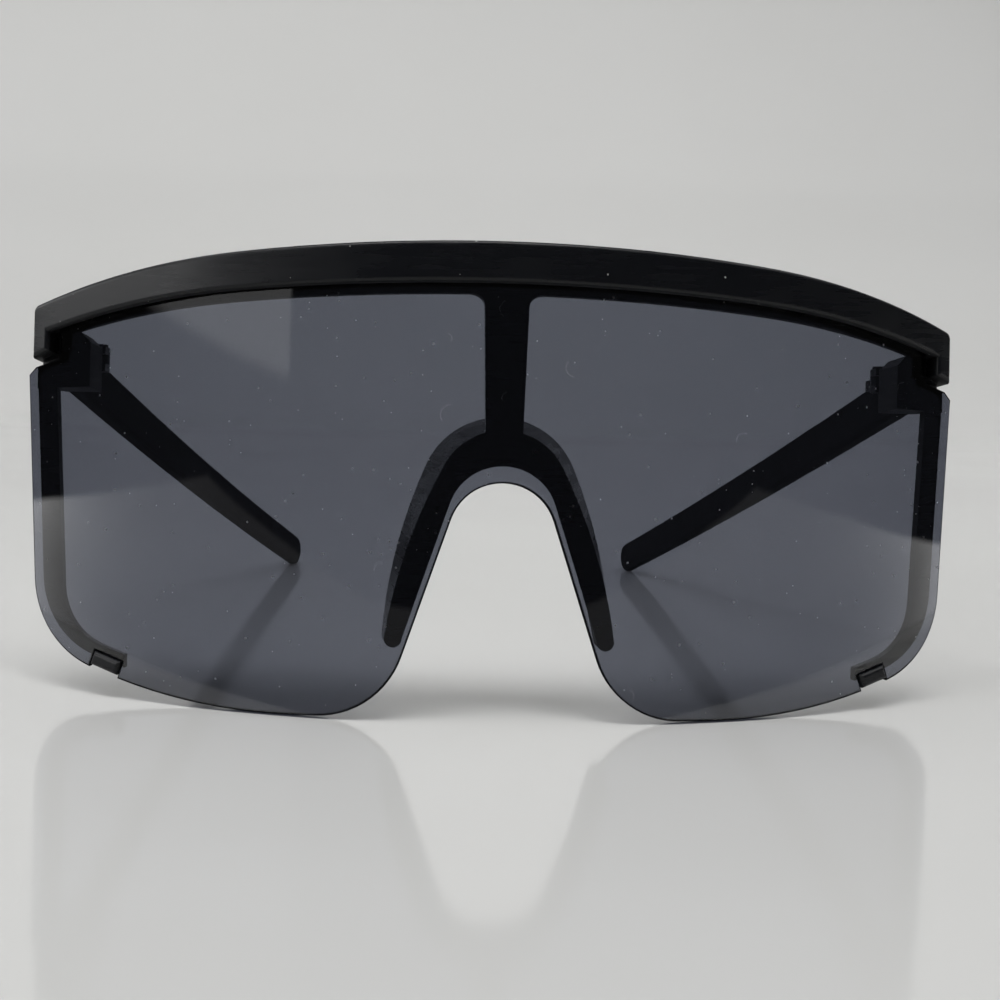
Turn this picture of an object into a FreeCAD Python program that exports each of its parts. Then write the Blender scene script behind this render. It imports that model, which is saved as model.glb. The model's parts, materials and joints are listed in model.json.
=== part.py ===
import FreeCAD, Part
import math
import os

from FreeCAD import Placement, Rotation, Vector

# Shield sunglasses. One curved lens hangs in the groove of a brow bar and is held at its lower
# corners by two hooks of the same moulding. Two temples fold on screwed metal hinges.
# The pieces are drawn with the lens upright: X to the wearer's left, Y from the front of the lens
# to the rear, Z up from the lowest point of the lens. At the end the whole object leans back on
# the foot of the lens and the temple tips, as it stands on a table.

# Driving dimensions in millimetres and degrees
DIMENSIONS = [
    ("lens_radius", 125.0, "radius of the lens's front face"),
    ("lens_thickness", 2.0, "thickness of the lens"),
    ("lens_half_width", 74.0, "centre line to the lens's shoulder"),
    ("shoulder_drop", 13.25, "brow's lower edge down to the lens's shoulder"),
    ("shoulder_bevel", 1.2, "bevel on the lens's shoulder"),
    ("neck_rise", 2.3, "lens's shoulder up to the foot of its neck"),
    ("neck_gap", 1.4, "brow's tab to the side of the lens's neck"),
    ("side_tilt", 3.6, "lean of the lens's side edges"),
    ("corner_radius", 15.0, "lower outer corner of the lens"),
    ("bottom_radius", 90.0, "sweep of the lens's lower edge"),
    ("lobe_offset", 31.0, "centre line to the start of that sweep"),
    ("lobe_blend", 13.0, "radius between the nose cut-out and the lower edge"),
    ("nose_height", 34.65, "foot of the lens to the top of the nose cut-out"),
    ("nose_radius", 8.0, "radius at the top of the nose cut-out"),
    ("nose_flare", 18.5, "lean of the sides of the nose cut-out"),
    ("lens_insertion", 2.4, "depth of the lens in the brow's groove"),
    ("fit_gap", 0.15, "clearance round the lens"),
    ("brow_lip", 63.85, "foot of the lens to the brow's lower edge"),
    ("lip_radius", 600.0, "middle arc of the brow's lower edge"),
    ("lip_end_radius", 140.0, "outer arcs of the brow's lower edge"),
    ("rear_lip_end_radius", 150.0, "outer arcs of the rear wall's lower edge"),
    ("brow_height", 6.0, "brow's lower edge to its top in the middle"),
    ("crest_radius", 470.0, "middle arc of the brow's top"),
    ("crest_end_radius", 131.0, "outer arcs of the brow's top"),
    ("brow_knee", 40.0, "centre line to where the outer arcs start"),
    ("brow_inset", 1.2, "lens's shoulder in to the brow's end"),
    ("brow_front_wall", 1.85, "brow in front of the lens"),
    ("brow_rear_wall", 1.6, "brow behind the lens"),
    ("brow_rear_drop", 1.3, "rear wall below the front lip"),
    ("brow_edge_round", 0.6, "rounding of the brow's front edges"),
    ("brow_corner_round", 1.2, "rounding of the brow's upper outer corners"),
    ("tab_width", 2.7, "width of the tab at the brow's end"),
    ("tab_gap", 0.1, "foot of the lens's neck up to the tab's lower corner"),
    ("tab_rise", 1.2, "slant of the tab's lower edge"),
    ("rim_inset", 1.85, "lens's edge to the rim behind it"),
    ("rim_width", 3.3, "width of the rim at the side"),
    ("rim_foot_width", 1.9, "width of the rim at the lower edge"),
    ("rim_depth", 2.2, "depth of the rim and bar behind the lens"),
    ("rim_tail", 3.6, "middle of the hook to the rim's lower end"),
    ("hook_offset", 14.3, "lens's shoulder in to the middle of the hook"),
    ("hook_length", 4.6, "length of the hook along the lens's edge"),
    ("hook_inset", 0.55, "lens's lower edge to the hook"),
    ("hook_height", 2.1, "height of the hook"),
    ("hook_proud", 0.8, "hook in front of the lens"),
    ("hook_round", 0.55, "rounding of the hook's front edges"),
    ("bar_top_half", 3.25, "half the centre bar's width at the brow"),
    ("bar_foot_half", 2.7, "half the centre bar's width at the arch"),
    ("bar_fillet", 2.0, "fillet between the bar and the brow"),
    ("arch_gap", 2.45, "top of the nose cut-out to the underside of the arch"),
    ("arch_flare", 18.3, "lean of the arch's legs"),
    ("arch_crown", 5.3, "height of the arch's front face at its top"),
    ("crown_radius", 9.6, "outer radius of the arch's front face"),
    ("crown_turn", 8.0, "how far the outer arc runs on past the lean of the legs"),
    ("leg_width", 2.6, "width of each leg at its foot"),
    ("leg_bulge", 1.1, "swell of each leg's outer edge"),
    ("arch_low", 10.2, "foot of the lens to the ends of the arch"),
    ("saddle_depth", 10.0, "depth of the nose pads behind the lens"),
    ("saddle_spread", 2.6, "how far the pads widen to the rear"),
    ("saddle_flare", 12.5, "lean of the pads' rear edges"),
    ("end_inset", 1.8, "lens's shoulder in to the outside of the end piece"),
    ("end_under", 5.4, "middle of the hinge down to the end piece's underside"),
    ("end_over", 3.2, "middle of the hinge up to the end piece's top"),
    ("end_bevel", 1.9, "bevel on the end piece's upper inner edge"),
    ("end_taper", 4.0, "length of the end piece's slant to the temple"),
    ("hinge_inset", 10.2, "lens's shoulder in to the hinge axis"),
    ("hinge_stand", 6.8, "back of the lens to the hinge axis"),
    ("hinge_rise", 3.4, "lens's shoulder up to the middle of the hinge"),
    ("splay", 9.5, "inward turn of the temple at the hinge"),
    ("knuckle_radius", 1.4, "outer radius of the hinge knuckles"),
    ("front_knuckle", 1.1, "height of each front knuckle"),
    ("temple_knuckle", 1.6, "height of the temple knuckle"),
    ("knuckle_gap", 0.06, "play between the knuckles along the axis"),
    ("leaf_thickness", 0.8, "thickness of the hinge leaves"),
    ("leaf_setback", 1.9, "hinge axis to the face of the front leaf"),
    ("leaf_overhang", 0.9, "hinge axis to the inner end of the front leaf"),
    ("front_leaf_length", 4.6, "length of the front leaf"),
    ("temple_leaf_length", 9.0, "length of the temple leaf behind the axis"),
    ("temple_leaf_height", 1.8, "height of the temple leaf"),
    ("pin_radius", 0.6, "radius of the hinge screw"),
    ("pin_head_radius", 1.1, "radius of the hinge screw's head"),
    ("pin_head_height", 0.5, "height of the hinge screw's head"),
    ("running_gap", 0.05, "clearance of the hinge screw in the temple knuckle"),
    ("seat_gap", 0.03, "clearance of fixed screws and leaves in their seats"),
    ("leaf_screw_radius", 0.45, "radius of the small screws"),
    ("leaf_screw_head", 0.75, "head radius of the small screws"),
    ("leaf_screw_length", 2.2, "length of the small screws"),
    ("front_screw_reach", 2.6, "hinge axis to the front leaf's screws"),
    ("front_screw_pitch", 2.2, "spacing of the front leaf's screws"),
    ("temple_screw_reach", 4.2, "hinge axis to the first temple leaf screw"),
    ("temple_screw_pitch", 3.2, "spacing of the temple leaf's screws"),
    ("driver_slot", 0.3, "width and depth of the screwdriver slots"),
    ("temple_gap", 0.5, "hinge knuckles to the inside of the temple"),
    ("temple_reach", 135.0, "hinge axis to the temple's tip"),
    ("temple_straight", 14.0, "straight stretch of the temple behind the hinge"),
    ("temple_turn", 4.5, "inward bow of the temple from there to its tip"),
    ("temple_front_thickness", 3.0, "thickness of the temple at the hinge"),
    ("temple_tip_thickness", 2.2, "thickness of the temple at the tip"),
    ("temple_front_height", 7.4, "height of the temple at the hinge"),
    ("temple_tip_radius", 3.3, "radius of the temple's tip"),
    ("temple_sink", 1.8, "middle of the hinge to the middle of the temple"),
    ("temple_round", 0.8, "rounding of the temple's long edges"),
    ("butt_gap", 0.15, "gap between the temple and the end piece when open"),
    ("stand_lean", 6.9, "lean of the lens when the object stands"),
    ("spare", 10.0, "how far drawing shapes reach past the pieces they cut"),
]

doc = FreeCAD.newDocument("shield_sunglasses")
sheet = doc.addObject("Spreadsheet::Sheet", "dimensions")
for row, (alias, value, meaning) in enumerate(DIMENSIONS, start=1):
    sheet.set(f"A{row}", meaning)
    sheet.set(f"B{row}", str(value))
    sheet.setAlias(f"B{row}", alias)
doc.recompute()


def size(alias):
    return float(sheet.get(alias))


def cell(alias):
    return f"dimensions.{alias}"


# Drawing helpers. An outline is a list of runs: two points are a line, three points an arc.
FRONT_VIEW = Rotation(Vector(1, 0, 0), 90)
REAR = Vector(0, 1, 0)
UP = Vector(0, 0, 1)
TOUCH = 0.01


def polar(radius, degrees):
    turn = math.radians(degrees)
    return Vector(radius * math.cos(turn), radius * math.sin(turn), 0)


def polygon(points):
    return [(start, end) for start, end in zip(points, points[1:] + points[:1])]


def mirrored(runs):
    """The runs on the other side of the centre line, in the opposite order."""
    return [tuple(Vector(-p.x, p.y, 0) for p in reversed(run)) for run in reversed(runs)]


def draw(sketch, runs):
    for run in runs:
        if len(run) == 3:
            sketch.addGeometry(Part.Arc(*run))
        else:
            sketch.addGeometry(Part.LineSegment(*run))


def extruded(name, runs, view, direction, expression, base=Vector()):
    """A solid drawn in one view and pulled along a direction."""
    sketch = doc.addObject("Sketcher::SketchObject", name + "_outline")
    sketch.Placement = Placement(base, view)
    draw(sketch, runs)
    solid = doc.addObject("Part::Extrusion", name + "_pull")
    solid.Base = sketch
    solid.DirMode = "Custom"
    solid.Dir = direction
    solid.Solid = True
    solid.setExpression("LengthFwd", expression)
    return solid


def boolean(kind, name, base, tool):
    result = doc.addObject("Part::" + kind, name)
    result.Base = base
    result.Tool = tool
    return result


def joined(name, shapes):
    result = doc.addObject("Part::MultiFuse", name)
    result.Shapes = shapes
    return result


def mirror_image(name, source):
    result = doc.addObject("Part::Mirroring", name)
    result.Source = source
    result.Normal = Vector(1, 0, 0)
    return result


def drum(name, radius):
    """An upright cylinder on the lens's own axis, taller than the object."""
    solid = doc.addObject("Part::Cylinder", name)
    solid.setExpression("Radius", radius)
    solid.setExpression("Height", f"{cell('brow_lip')} + {cell('brow_height')} + 2 * {cell('spare')}")
    solid.setExpression("Placement.Base.y", cell("lens_radius"))
    solid.setExpression("Placement.Base.z", f"0 - {cell('spare')}")
    return solid


def curved_wall(name, outer, inner):
    return boolean("Cut", name, drum(name + "_outer", outer), drum(name + "_inner", inner))


def block(name, low, high, place):
    """A box between two corners, each corner three expressions, set in a placement."""
    solid = doc.addObject("Part::Box", name)
    for side, start, end in zip(("Length", "Width", "Height"), low, high):
        solid.setExpression(side, f"({end}) - ({start})")
    corner = Vector(*[sheet.evalExpression(text) for text in low])
    solid.Placement = place * Placement(corner, Rotation())
    return solid


def rod(name, radius, length, place):
    solid = doc.addObject("Part::Cylinder", name)
    solid.setExpression("Radius", radius)
    solid.setExpression("Height", length)
    solid.Placement = place
    return solid


def rounded(name, base, amount, height_over_front):
    """A copy of a solid with the edges round its front face rounded."""
    doc.recompute()
    edges = []
    for number, edge in enumerate(base.Shape.Edges, start=1):
        span = edge.LastParameter - edge.FirstParameter
        points = [edge.valueAt(edge.FirstParameter + span * share) for share in (0, 0.5, 1)]
        if max(abs(height_over_front(point)) for point in points) < TOUCH:
            edges.append((number, size(amount), size(amount)))
    solid = doc.addObject("Part::Fillet", name)
    solid.Base = base
    solid.Edges = edges
    return solid


def name_part(feature, label):
    feature.Label = label
    parts[label] = feature


parts = {}

# Outline of the lens, seen from the front
lens_rear = f"{cell('lens_radius')} - {cell('lens_thickness')}"
slot_front = f"{cell('lens_radius')} + {cell('fit_gap')}"
slot_rear = f"{lens_rear} - {cell('fit_gap')}"
view_depth = f"{cell('lens_radius')} / 2"
ahead = Vector(0, -size("spare"), 0)

# Places worked out from the driving dimensions
brow_crest = size("brow_lip") + size("brow_height")
brow_half_width = size("lens_half_width") - size("brow_inset")
tab_inside = brow_half_width - size("tab_width")
neck_half_width = tab_inside - size("neck_gap")
shoulder_height = size("brow_lip") - size("shoulder_drop")
hook_middle = size("lens_half_width") - size("hook_offset")
neck_height = shoulder_height + size("neck_rise")
tab_low = neck_height + size("tab_gap")
arch_height = size("nose_height") + size("arch_gap")
end_outer = size("lens_half_width") - size("end_inset")
rear_radius = size("lens_radius") - size("lens_thickness")
hinge_offset = size("lens_half_width") - size("hinge_inset")
hinge_depth = size("lens_radius") - math.sqrt(rear_radius**2 - end_outer**2) + size("hinge_stand")
hinge_height = shoulder_height + size("hinge_rise")
end_inner = hinge_offset - size("leaf_overhang")
end_low = hinge_height - size("end_under")
end_high = hinge_height + size("end_over")
temple_inside = size("knuckle_radius") + size("temple_gap")
temple_outside = temple_inside + size("temple_front_thickness")


def crown(x, height, radius, end_radius):
    """Height of a brow edge at x: a middle arc that runs into a tighter arc past the knee."""
    knee = size("brow_knee")
    x = abs(x)
    if x <= knee:
        return height - radius + math.sqrt(radius**2 - x**2)
    turn = math.asin(knee / radius)
    centre_x = knee - end_radius * math.sin(turn)
    centre_z = height - radius + (radius - end_radius) * math.cos(turn)
    return centre_z + math.sqrt(end_radius**2 - (x - centre_x) ** 2)


def crown_runs(half_width, height, radius, end_radius):
    """The three arcs of a brow edge from the left end to the right."""
    knee = size("brow_knee")
    stations = [half_width, (half_width + knee) / 2, knee, 0]
    right = [Vector(x, crown(x, height, radius, end_radius), 0) for x in stations]
    outer = [tuple(right[:3])]
    middle = [(right[2], right[3], Vector(-right[2].x, right[2].y, 0))]
    return outer + middle + mirrored(outer)


def front_lip(lift):
    """Height and radii of the brow's lower edge, or of a line above it."""
    return size("brow_lip") + lift, size("lip_radius"), size("lip_end_radius")


rear_lip = size("brow_lip") - size("brow_rear_drop"), size("lip_radius"), size("rear_lip_end_radius")
crest = brow_crest, size("crest_radius"), size("crest_end_radius")


def lower_corner(inset, foot_inset):
    """Tangent points of the lens's side, corner and lower edge, moved inwards by the insets."""
    tilt = math.radians(size("side_tilt"))
    down = Vector(-math.sin(tilt), -math.cos(tilt), 0)
    inward = Vector(-math.cos(tilt), math.sin(tilt), 0)
    shoulder = Vector(size("lens_half_width"), shoulder_height, 0) + inward * inset
    sweep = Vector(size("lobe_offset"), size("bottom_radius"), 0)
    sweep_radius = size("bottom_radius") - foot_inset
    radius = size("corner_radius") - inset
    start = shoulder + inward * radius - sweep
    along = start.dot(down)
    drop = -along + math.sqrt(along**2 - start.dot(start) + (sweep_radius - radius) ** 2)
    centre = sweep + start + down * drop
    out = (centre - sweep).normalize()
    low = sweep + out * sweep_radius
    side = centre - inward * radius
    middle = centre + (low - centre + side - centre).normalize() * radius
    return shoulder, side, middle, low, sweep, sweep_radius


def sweep_point(x, sweep, radius):
    return Vector(x, sweep.y - math.sqrt(radius**2 - (x - sweep.x) ** 2), 0)


def lens_half():
    """Right half of the lens's outline from the top of the nose cut-out to the groove."""
    flare = size("nose_flare")
    radius = size("nose_radius")
    blend = size("lobe_blend")
    top = Vector(0, size("nose_height"), 0)
    centre = top - Vector(0, radius, 0)
    leg_top = centre + polar(radius, flare)
    leg = polar(1, flare - 90)
    across = polar(1, flare)
    run = (leg_top.y + blend * across.y - blend) / -leg.y
    leg_foot = leg_top + leg * run
    blend_centre = leg_foot + across * blend
    shoulder, side, middle, low, sweep, sweep_radius = lower_corner(0, 0)
    lobe = Vector(size("lobe_offset"), 0, 0)
    bevel = size("shoulder_bevel")
    neck_foot = Vector(neck_half_width, neck_height, 0)
    bevel_top = shoulder + Vector(-bevel, bevel, 0)
    neck_top = Vector(neck_half_width, crown(neck_half_width, *front_lip(size("lens_insertion"))), 0)
    return [
        (top, centre + polar(radius, (flare + 90) / 2), leg_top),
        (leg_top, leg_foot),
        (leg_foot, blend_centre - polar(blend, (flare + 90) / 2), Vector(blend_centre.x, 0, 0)),
        (Vector(blend_centre.x, 0, 0), lobe),
        (lobe, sweep_point((lobe.x + low.x) / 2, sweep, sweep_radius), low),
        (low, middle, side),
        (side, shoulder),
        (shoulder, bevel_top),
        (bevel_top, neck_foot),
        (neck_foot, neck_top),
    ]


def hook_runs(clearance):
    """The hook's outline in line with the lens's lower edge, or the notch round it."""
    sweep = Vector(size("lobe_offset"), size("bottom_radius"), 0)
    foot = sweep_point(hook_middle, sweep, size("bottom_radius"))
    along = Vector(sweep.y - foot.y, foot.x - sweep.x, 0).normalize()
    inward = Vector(-along.y, along.x, 0)
    half = along * (size("hook_length") / 2 + clearance)
    top = inward * (size("hook_inset") + size("hook_height") + clearance)
    bottom = inward * (size("hook_inset") if clearance == 0 else -size("spare"))
    return polygon([foot - half + bottom, foot + half + bottom, foot + half + top, foot - half + top])


# Lens: a moulded polycarbonate sheet, curved one way only
right_half = lens_half()
lens_top = crown_runs(neck_half_width, *front_lip(size("lens_insertion")))
lens_runs = right_half + lens_top + mirrored(right_half)
lens_sheet = curved_wall("lens_sheet", cell("lens_radius"), lens_rear)
lens_front_view = extruded("lens", lens_runs, FRONT_VIEW, REAR, view_depth)
lens_blank = boolean("Common", "lens_blank", lens_sheet, lens_front_view)
left_notch = extruded("notch", hook_runs(size("fit_gap")), FRONT_VIEW, REAR, view_depth)
notches = joined("notches", [left_notch, mirror_image("right_notch", left_notch)])
name_part(boolean("Cut", "lens", lens_blank, notches), "shield_lens")

# Brow: front and rear walls joined over the lens, with a tab at each end
brow_front = f"{slot_front} + {cell('brow_front_wall')}"
brow_rear = f"{slot_rear} - {cell('brow_rear_wall')}"


def brow_corner():
    """The rounded upper outer corner of the brow: where the crest ends, the middle and the side."""
    radius = size("brow_corner_round")
    corner = Vector(brow_half_width, crown(brow_half_width, *crest), 0)
    inside = brow_half_width - radius
    fall = math.atan2(crown(inside, *crest) - corner.y, radius)
    trim = radius * math.tan(math.pi / 4 - fall / 2)
    crest_end = brow_half_width - trim * math.cos(fall)
    side = corner - Vector(0, trim, 0)
    centre = side - Vector(radius, 0, 0)
    middle = centre + polar(radius, 45 - math.degrees(fall) / 2)
    return Vector(crest_end, crown(crest_end, *crest), 0), middle, side


def brow_runs(lip):
    """Outline of the brow with a tab at each end, down to the given lower edge."""
    corner = brow_corner()
    tab_outer = Vector(brow_half_width, tab_low, 0)
    tab_inner = Vector(tab_inside, tab_low + size("tab_rise"), 0)
    lip_end = Vector(tab_inside, crown(tab_inside, *lip), 0)
    end = [corner, (corner[-1], tab_outer), (tab_outer, tab_inner), (tab_inner, lip_end)]
    return mirrored(crown_runs(corner[0].x, *crest)) + end + crown_runs(tab_inside, *lip) + mirrored(end)


def slot_runs():
    half = neck_half_width + size("fit_gap")
    roof = crown_runs(half, *front_lip(size("lens_insertion") + size("fit_gap")))
    mouth = Vector(half, end_low, 0)
    side = [(roof[0][0], mouth)]
    floor = [(mouth, Vector(-half, mouth.y, 0))]
    return mirrored(roof) + side + floor + mirrored(side)


def over_brow(point):
    """Height of a point over the brow's curved front face."""
    return math.hypot(point.x, point.y - size("lens_radius")) - sheet.evalExpression(brow_front)


brow_wall = curved_wall("brow_wall", brow_front, brow_rear)
rear_wall = curved_wall("rear_wall", slot_rear, brow_rear)
brow_view = extruded("brow", brow_runs(front_lip(0)), FRONT_VIEW, REAR, view_depth, ahead)
rear_view = extruded("brow_rear", brow_runs(rear_lip), FRONT_VIEW, REAR, view_depth)
brow_blank = boolean("Common", "brow_blank", brow_wall, brow_view)
brow = rounded("brow", brow_blank, "brow_edge_round", over_brow)
brow_back = boolean("Common", "brow_back", rear_wall, rear_view)
slot_wall = curved_wall("slot_wall", slot_front, slot_rear)
slot_view = extruded("slot", slot_runs(), FRONT_VIEW, REAR, view_depth, ahead)
slot = boolean("Common", "slot", slot_wall, slot_view)

# Side rim behind the lens, with the hook that passes through the lens's notch
rim_rear = f"{slot_rear} - {cell('rim_depth')}"
rim_wall = curved_wall("rim_wall", slot_rear, rim_rear)


def rim_runs():
    inset = size("rim_inset")
    outer = lower_corner(inset, inset)
    inner = lower_corner(inset + size("rim_width"), inset + size("rim_foot_width"))
    edges = []
    for shoulder, side, middle, low, sweep, radius in (outer, inner):
        end = sweep_point(hook_middle - size("rim_tail"), sweep, radius)
        halfway = sweep_point((end.x + low.x) / 2, sweep, radius)
        edges.append([(end, halfway, low), (low, middle, side), (side, shoulder)])
    back = [tuple(reversed(run)) for run in reversed(edges[1])]
    cap = [(edges[0][-1][-1], back[0][0])]
    foot = [(back[-1][-1], edges[0][0][0])]
    return edges[0] + cap + back + foot


rim_view = extruded("rim", rim_runs(), FRONT_VIEW, REAR, view_depth)
rim = boolean("Common", "rim", rim_wall, rim_view)
hook_turn = math.asin(hook_middle / size("lens_radius"))
hook_depth = size("lens_radius") * (1 - math.cos(hook_turn))
hook_seat = Placement(Vector(hook_middle, hook_depth, 0), Rotation(UP, math.degrees(hook_turn)))


def over_hook(point):
    """Height of a point over the hook's flat front face."""
    return -hook_seat.inverse().multVec(point).y - size("hook_proud")


hook_root = f"{cell('lens_thickness')} + {cell('fit_gap')} + {cell('rim_depth')} / 2"
hook_low = (f"0 - {cell('spare')}", f"0 - {cell('hook_proud')}", f"0 - {cell('spare')}")
hook_high = (cell("spare"), hook_root, cell("brow_lip"))
hook_slab = block("hook_slab", hook_low, hook_high, hook_seat)
hook_view = extruded("hook", hook_runs(0), FRONT_VIEW, REAR, view_depth, ahead)
hook_blank = boolean("Common", "hook_blank", hook_slab, hook_view)
hook = rounded("hook", hook_blank, "hook_round", over_hook)

# End piece: the block behind the lens that carries the hinge, square to the open temple
hinge = Placement(Vector(hinge_offset, hinge_depth, hinge_height), Rotation(UP, size("splay")))


def hinge_point(x, y):
    point = hinge.multVec(Vector(x, y, 0))
    return Vector(point.x, point.y, 0)


rear_inner = hinge_point(-size("leaf_overhang"), -size("leaf_setback"))
rear_outer = hinge_point(temple_outside, -size("leaf_setback"))
end_plan = polygon([
    Vector(end_inner, 0, 0),
    Vector(end_outer, 0, 0),
    Vector(end_outer, rear_outer.y - size("end_taper"), 0),
    rear_outer,
    rear_inner,
])
end_height = f"{cell('end_under')} + {cell('end_over')}"
end_pull = extruded("end", end_plan, Rotation(), UP, end_height, Vector(0, 0, end_low))
end_side = boolean("Common", "end_side", end_pull, drum("end_drum", slot_rear))
bevel_corner = Vector(end_inner, end_high, 0)
bevel_plan = polygon([
    bevel_corner,
    bevel_corner + Vector(size("end_bevel"), 0, 0),
    bevel_corner - Vector(0, size("end_bevel"), 0),
])
bevel = extruded("bevel", bevel_plan, FRONT_VIEW, REAR, view_depth)
end_piece = boolean("Cut", "end_piece", end_side, bevel)
left_side = joined("left_side", [rim, hook, end_piece])

# Centre bar from the brow to the nose arch
def bar_runs():
    bar_top = size("brow_lip") - size("brow_rear_drop")
    fillet = size("bar_fillet")
    head = size("bar_top_half")
    roof = Vector(head + fillet, bar_top + fillet / 2, 0)
    ear = Vector(head + fillet, bar_top, 0)
    neck = Vector(head, bar_top - fillet, 0)
    bend = Vector(head + fillet, bar_top - fillet, 0) + polar(fillet, 135)
    foot = Vector(size("bar_foot_half"), arch_height + size("arch_crown") / 2, 0)
    side = [(roof, ear), (ear, bend, neck), (neck, foot)]
    across = [(foot, Vector(-foot.x, foot.y, 0))]
    lid = [(Vector(-roof.x, roof.y, 0), roof)]
    return side + across + mirrored(side) + lid


bar_view = extruded("bar", bar_runs(), FRONT_VIEW, REAR, view_depth)
bar = boolean("Common", "bar", rim_wall, bar_view)


# Nose arch: a saddle whose pads widen to the rear
def saddle_runs(spread, flare):
    """Outline of the arch: inner and outer arcs, straight inner and swelling outer legs, round feet."""
    toe = size("leg_width") / 2
    foot_height = size("arch_low") + toe
    radius = size("nose_radius") + spread
    centre = Vector(0, arch_height - size("nose_radius"), 0)
    inner = centre + polar(radius, flare)
    drop = inner.y - foot_height
    inner_foot = inner + polar(drop / math.cos(math.radians(flare)), flare - 90)
    outer_foot = inner_foot + Vector(size("leg_width"), 0, 0)
    crown_centre = Vector(0, arch_height + size("arch_crown") - size("crown_radius"), 0)
    outer = crown_centre + polar(size("crown_radius") + spread, flare + size("crown_turn"))
    outer_top = crown_centre + Vector(0, size("crown_radius") + spread, 0)
    chord = outer_foot - outer
    swell = (outer + outer_foot) * 0.5 + Vector(-chord.y, chord.x, 0).normalize() * size("leg_bulge")
    toe_end = (inner_foot + outer_foot) * 0.5 - Vector(0, toe, 0)
    right = [(inner, inner_foot), (inner_foot, toe_end, outer_foot), (outer_foot, swell, outer)]
    over = [(outer, outer_top, Vector(-outer.x, outer.y, 0))]
    under = [(Vector(-inner.x, inner.y, 0), centre + Vector(0, radius, 0), inner)]
    return right + over + mirrored(right) + under


saddle_front = doc.addObject("Sketcher::SketchObject", "saddle_front")
saddle_front.Placement = Placement(REAR * size("lens_thickness"), FRONT_VIEW)
draw(saddle_front, saddle_runs(0, size("arch_flare")))
saddle_back = doc.addObject("Sketcher::SketchObject", "saddle_back")
saddle_back.Placement = Placement(REAR * (size("lens_thickness") + size("saddle_depth")), FRONT_VIEW)
draw(saddle_back, saddle_runs(size("saddle_spread"), size("saddle_flare")))
saddle_loft = doc.addObject("Part::Loft", "saddle_loft")
saddle_loft.Sections = [saddle_front, saddle_back]
saddle_loft.Solid = True
saddle_loft.Ruled = True
saddle = boolean("Common", "saddle", saddle_loft, drum("saddle_drum", slot_rear))

# Front frame: the mouldings joined, with the lens groove and the hinge seats cut out
leaf_inner = f"0 - {cell('leaf_overhang')}"
leaf_face = f"0 - {cell('leaf_setback')}"
leaf_back = f"{leaf_face} - {cell('leaf_thickness')}"
half_temple_knuckle = f"{cell('temple_knuckle')} / 2"
knuckle_start = f"{half_temple_knuckle} + {cell('knuckle_gap')}"
knuckle_end = f"{knuckle_start} + {cell('front_knuckle')}"
front_leaf_low = (leaf_inner, leaf_back, f"0 - ({knuckle_end})")
front_leaf_high = (f"{leaf_inner} + {cell('front_leaf_length')}", leaf_face, knuckle_end)


def widened(low, high, gap):
    return [f"{text} - {gap}" for text in low], [f"{text} + {gap}" for text in high]


seat_low, seat_high = widened(front_leaf_low, front_leaf_high, cell("seat_gap"))
front_seat = block("front_seat", seat_low, seat_high, hinge)
FORWARD = Rotation(Vector(1, 0, 0), 90)
SIDEWAYS = Rotation(Vector(0, 1, 0), 90)
pilot_radius = f"{cell('leaf_screw_radius')} + {cell('seat_gap')}"
pilot_length = f"{cell('leaf_screw_length')} + {cell('seat_gap')}"
front_screws = []
for level, lift in (("upper", 0.5), ("lower", -0.5)):
    spot = Vector(size("front_screw_reach"), -size("leaf_setback"), lift * size("front_screw_pitch"))
    front_screws.append((level, hinge * Placement(spot, FORWARD)))
temple_screws = []
for order, steps in (("front", 0), ("rear", 1)):
    along = size("temple_screw_reach") + steps * size("temple_screw_pitch")
    spot = Vector(temple_inside, along, 0)
    temple_screws.append((order, hinge * Placement(spot, SIDEWAYS)))

front_pilots = [rod(f"front_pilot_{level}", pilot_radius, pilot_length, spot) for level, spot in front_screws]
left_cuts = joined("left_cuts", [front_seat] + front_pilots)
shell = joined("shell", [brow, brow_back, bar, saddle, left_side, mirror_image("right_side", left_side)])
cuts = joined("cuts", [slot, left_cuts, mirror_image("right_cuts", left_cuts)])
name_part(boolean("Cut", "frame", shell, cuts), "front_frame")


# Hinge leaves: plates with knuckles, pierced for the hinge screw and the small screws
def countersunk_hole(name, spot):
    """A screw's clearance hole with its cone, from the plate's face inwards."""
    shank = rod(name + "_shank", pilot_radius, f"{cell('leaf_thickness')} * 2", spot)
    cone = doc.addObject("Part::Cone", name + "_cone")
    cone.setExpression("Radius1", f"{cell('leaf_screw_head')} + {cell('seat_gap')}")
    cone.setExpression("Radius2", pilot_radius)
    cone.setExpression("Height", f"{cell('leaf_screw_head')} - {cell('leaf_screw_radius')}")
    cone.Placement = spot
    return joined(name, [shank, cone])


def at_height(z):
    return hinge * Placement(Vector(0, 0, z), Rotation())


barrel_half = size("temple_knuckle") / 2 + size("knuckle_gap") + size("front_knuckle")
knuckle = cell("knuckle_radius")

front_leaf_solids = [block("front_plate", front_leaf_low, front_leaf_high, hinge)]
for level, low, high in (
    ("upper", knuckle_start, knuckle_end),
    ("lower", f"0 - ({knuckle_end})", f"0 - ({knuckle_start})"),
):
    bottom = sheet.evalExpression(low)
    web_low = (f"0 - {knuckle}", leaf_face, low)
    web_high = (knuckle, "0", high)
    front_leaf_solids.append(block(f"front_web_{level}", web_low, web_high, hinge))
    front_leaf_solids.append(
        rod(f"front_knuckle_{level}", knuckle, cell("front_knuckle"), at_height(bottom))
    )
pin_hole = rod(
    "pin_hole",
    f"{cell('pin_radius')} + {cell('seat_gap')}",
    f"2 * ({knuckle_end})",
    at_height(-barrel_half),
)
front_holes = [countersunk_hole(f"front_hole_{level}", spot) for level, spot in front_screws]
front_leaf = joined("front_leaf", front_leaf_solids)
front_leaf_cuts = joined("front_leaf_cuts", front_holes + [pin_hole])
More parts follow.
